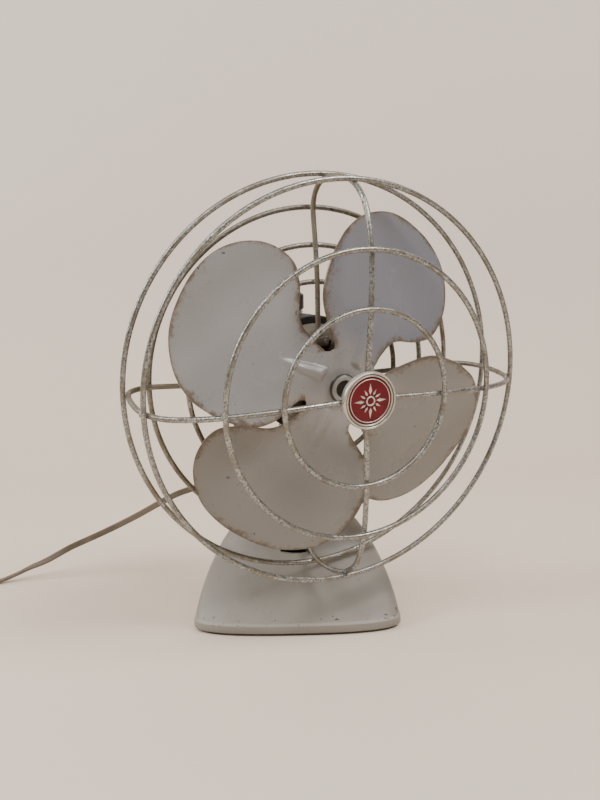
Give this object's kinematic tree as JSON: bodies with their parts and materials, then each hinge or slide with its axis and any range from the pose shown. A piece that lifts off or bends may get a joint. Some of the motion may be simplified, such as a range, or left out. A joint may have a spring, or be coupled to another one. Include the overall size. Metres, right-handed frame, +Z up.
{
  "type": "oscillating desk fan",
  "caption": "Vintage metal desk fan: round wire guard, pressed blades, ribbed motor with oscillator, tilting neck on a flared pedestal base, and a flat cord with a plug.",
  "frame": {"origin": "on the floor plane under the middle of the tilt hinge", "axes": "+Z up, -Y out of the front of the base, +X to the right seen from the front; the head is stored turned 24 degrees to the right and tilted 7 degrees down"},
  "size_m": [0.5754, 0.2975, 0.3705],
  "materials": {
    "grey_paint": "aged satin enamel",
    "blade_paint": "aged satin enamel",
    "wire_plate": "dull plated wire",
    "black_paint": "matt black",
    "steel": "dull",
    "laminate": "stacked laminations",
    "copper": "varnished copper wire",
    "brass": "satin",
    "black_plastic": "matt",
    "cord_jacket": "aged rubber",
    "nickel": "aged nickel",
    "enamel": "gloss enamel"
  },
  "bodies": {
    "base": {"base_skirt": "grey_paint", "base_flare": "grey_paint", "base_shoulder": "grey_paint", "base_crown": "grey_paint", "base_plate": "steel", "base_pad": "black_paint", "base_tabs": "steel", "base_screws": "steel", "neck": "grey_paint", "neck_nut": "steel", "speed_switch": "black_plastic", "switch_bracket": "steel", "speed_reactor": "laminate", "reactor_coil": "copper", "cord_gland": "black_plastic", "power_cord": "cord_jacket", "cord_coil": "cord_jacket", "cord_tie": "black_plastic", "cord_tail": "cord_jacket", "plug_body": "black_plastic", "plug_prongs": "brass"},
    "lever": {"speed_lever": "steel"},
    "trunnion": {"trunnion": "grey_paint", "swivel_washer": "brass", "tilt_bolt": "steel"},
    "thumb_nut": {"thumb_nut": "steel"},
    "head": {"motor_band": "black_paint", "motor_front_shell": "grey_paint", "motor_rear_shell": "grey_paint", "stator_core": "laminate", "stator_windings": "copper", "bearings": "brass", "band_screws": "steel", "gear_case": "grey_paint", "gear_cover": "grey_paint", "gear_screws": "steel", "spoke_right": "wire_plate", "spoke_top": "wire_plate", "spoke_left": "wire_plate", "spoke_bottom": "wire_plate", "rim_front": "wire_plate", "rim_rear": "wire_plate", "front_rings": "wire_plate", "rear_rings": "wire_plate", "guard_clips": "steel", "guard_screws": "steel", "badge_back": "steel", "badge_bezel": "nickel", "badge_face": "enamel"},
    "knob": {"oscillator_knob": "black_plastic"},
    "rotor": {"shaft": "steel", "rotor_core": "laminate", "worm": "steel", "blade_hub": "blade_paint", "hub_screw": "steel", "blades": "blade_paint"},
    "wheel": {"worm_wheel": "brass", "crank": "steel"},
    "link": {"crank_link": "steel"}
  },
  "joints": [
    {"name": "lever_swing", "type": "hinge", "parent": "base", "child": "lever", "pos_m": [0, -0.002, 0.058], "axis": [0, 0, 1], "range_deg": [-46, 0]},
    {"name": "head_tilt", "type": "hinge", "parent": "base", "child": "trunnion", "pos_m": [0, 0, 0.138], "axis": [1, 0, 0], "range_deg": [-24, 0.5]},
    {"name": "thumb_nut_turn", "type": "hinge", "parent": "trunnion", "child": "thumb_nut", "pos_m": [0, 0, 0.138], "axis": [1, 0, 0], "continuous": true},
    {"name": "oscillation", "type": "hinge", "parent": "trunnion", "child": "head", "pos_m": [0, 0, 0.138], "axis": [0, -0.1219, 0.9925], "range_deg": [-54, 6]},
    {"name": "blade_spin", "type": "hinge", "parent": "head", "child": "rotor", "pos_m": [0, -0.00975, 0.2174], "axis": [0.4067, -0.9067, -0.1113], "continuous": true},
    {"name": "wheel_spin", "type": "hinge", "parent": "head", "child": "wheel", "pos_m": [0.00313, 0.01988, 0.22104], "axis": [0, -0.1219, 0.9925], "continuous": true},
    {"name": "link_swing", "type": "hinge", "parent": "wheel", "child": "link", "pos_m": [0.00375, 0.01442, 0.17705], "axis": [0, -0.1219, 0.9925], "continuous": true},
    {"name": "knob_lift", "type": "slide", "parent": "head", "child": "knob", "axis": [0, -0.1219, 0.9925], "range_m": [0, 0.004]}
  ],
  "couplings": [
    {"joint": "wheel_spin", "follows": "blade_spin", "ratio": 0.033333},
    {"joint": "link_swing", "follows": "blade_spin", "ratio": -0.033333}
  ]
}
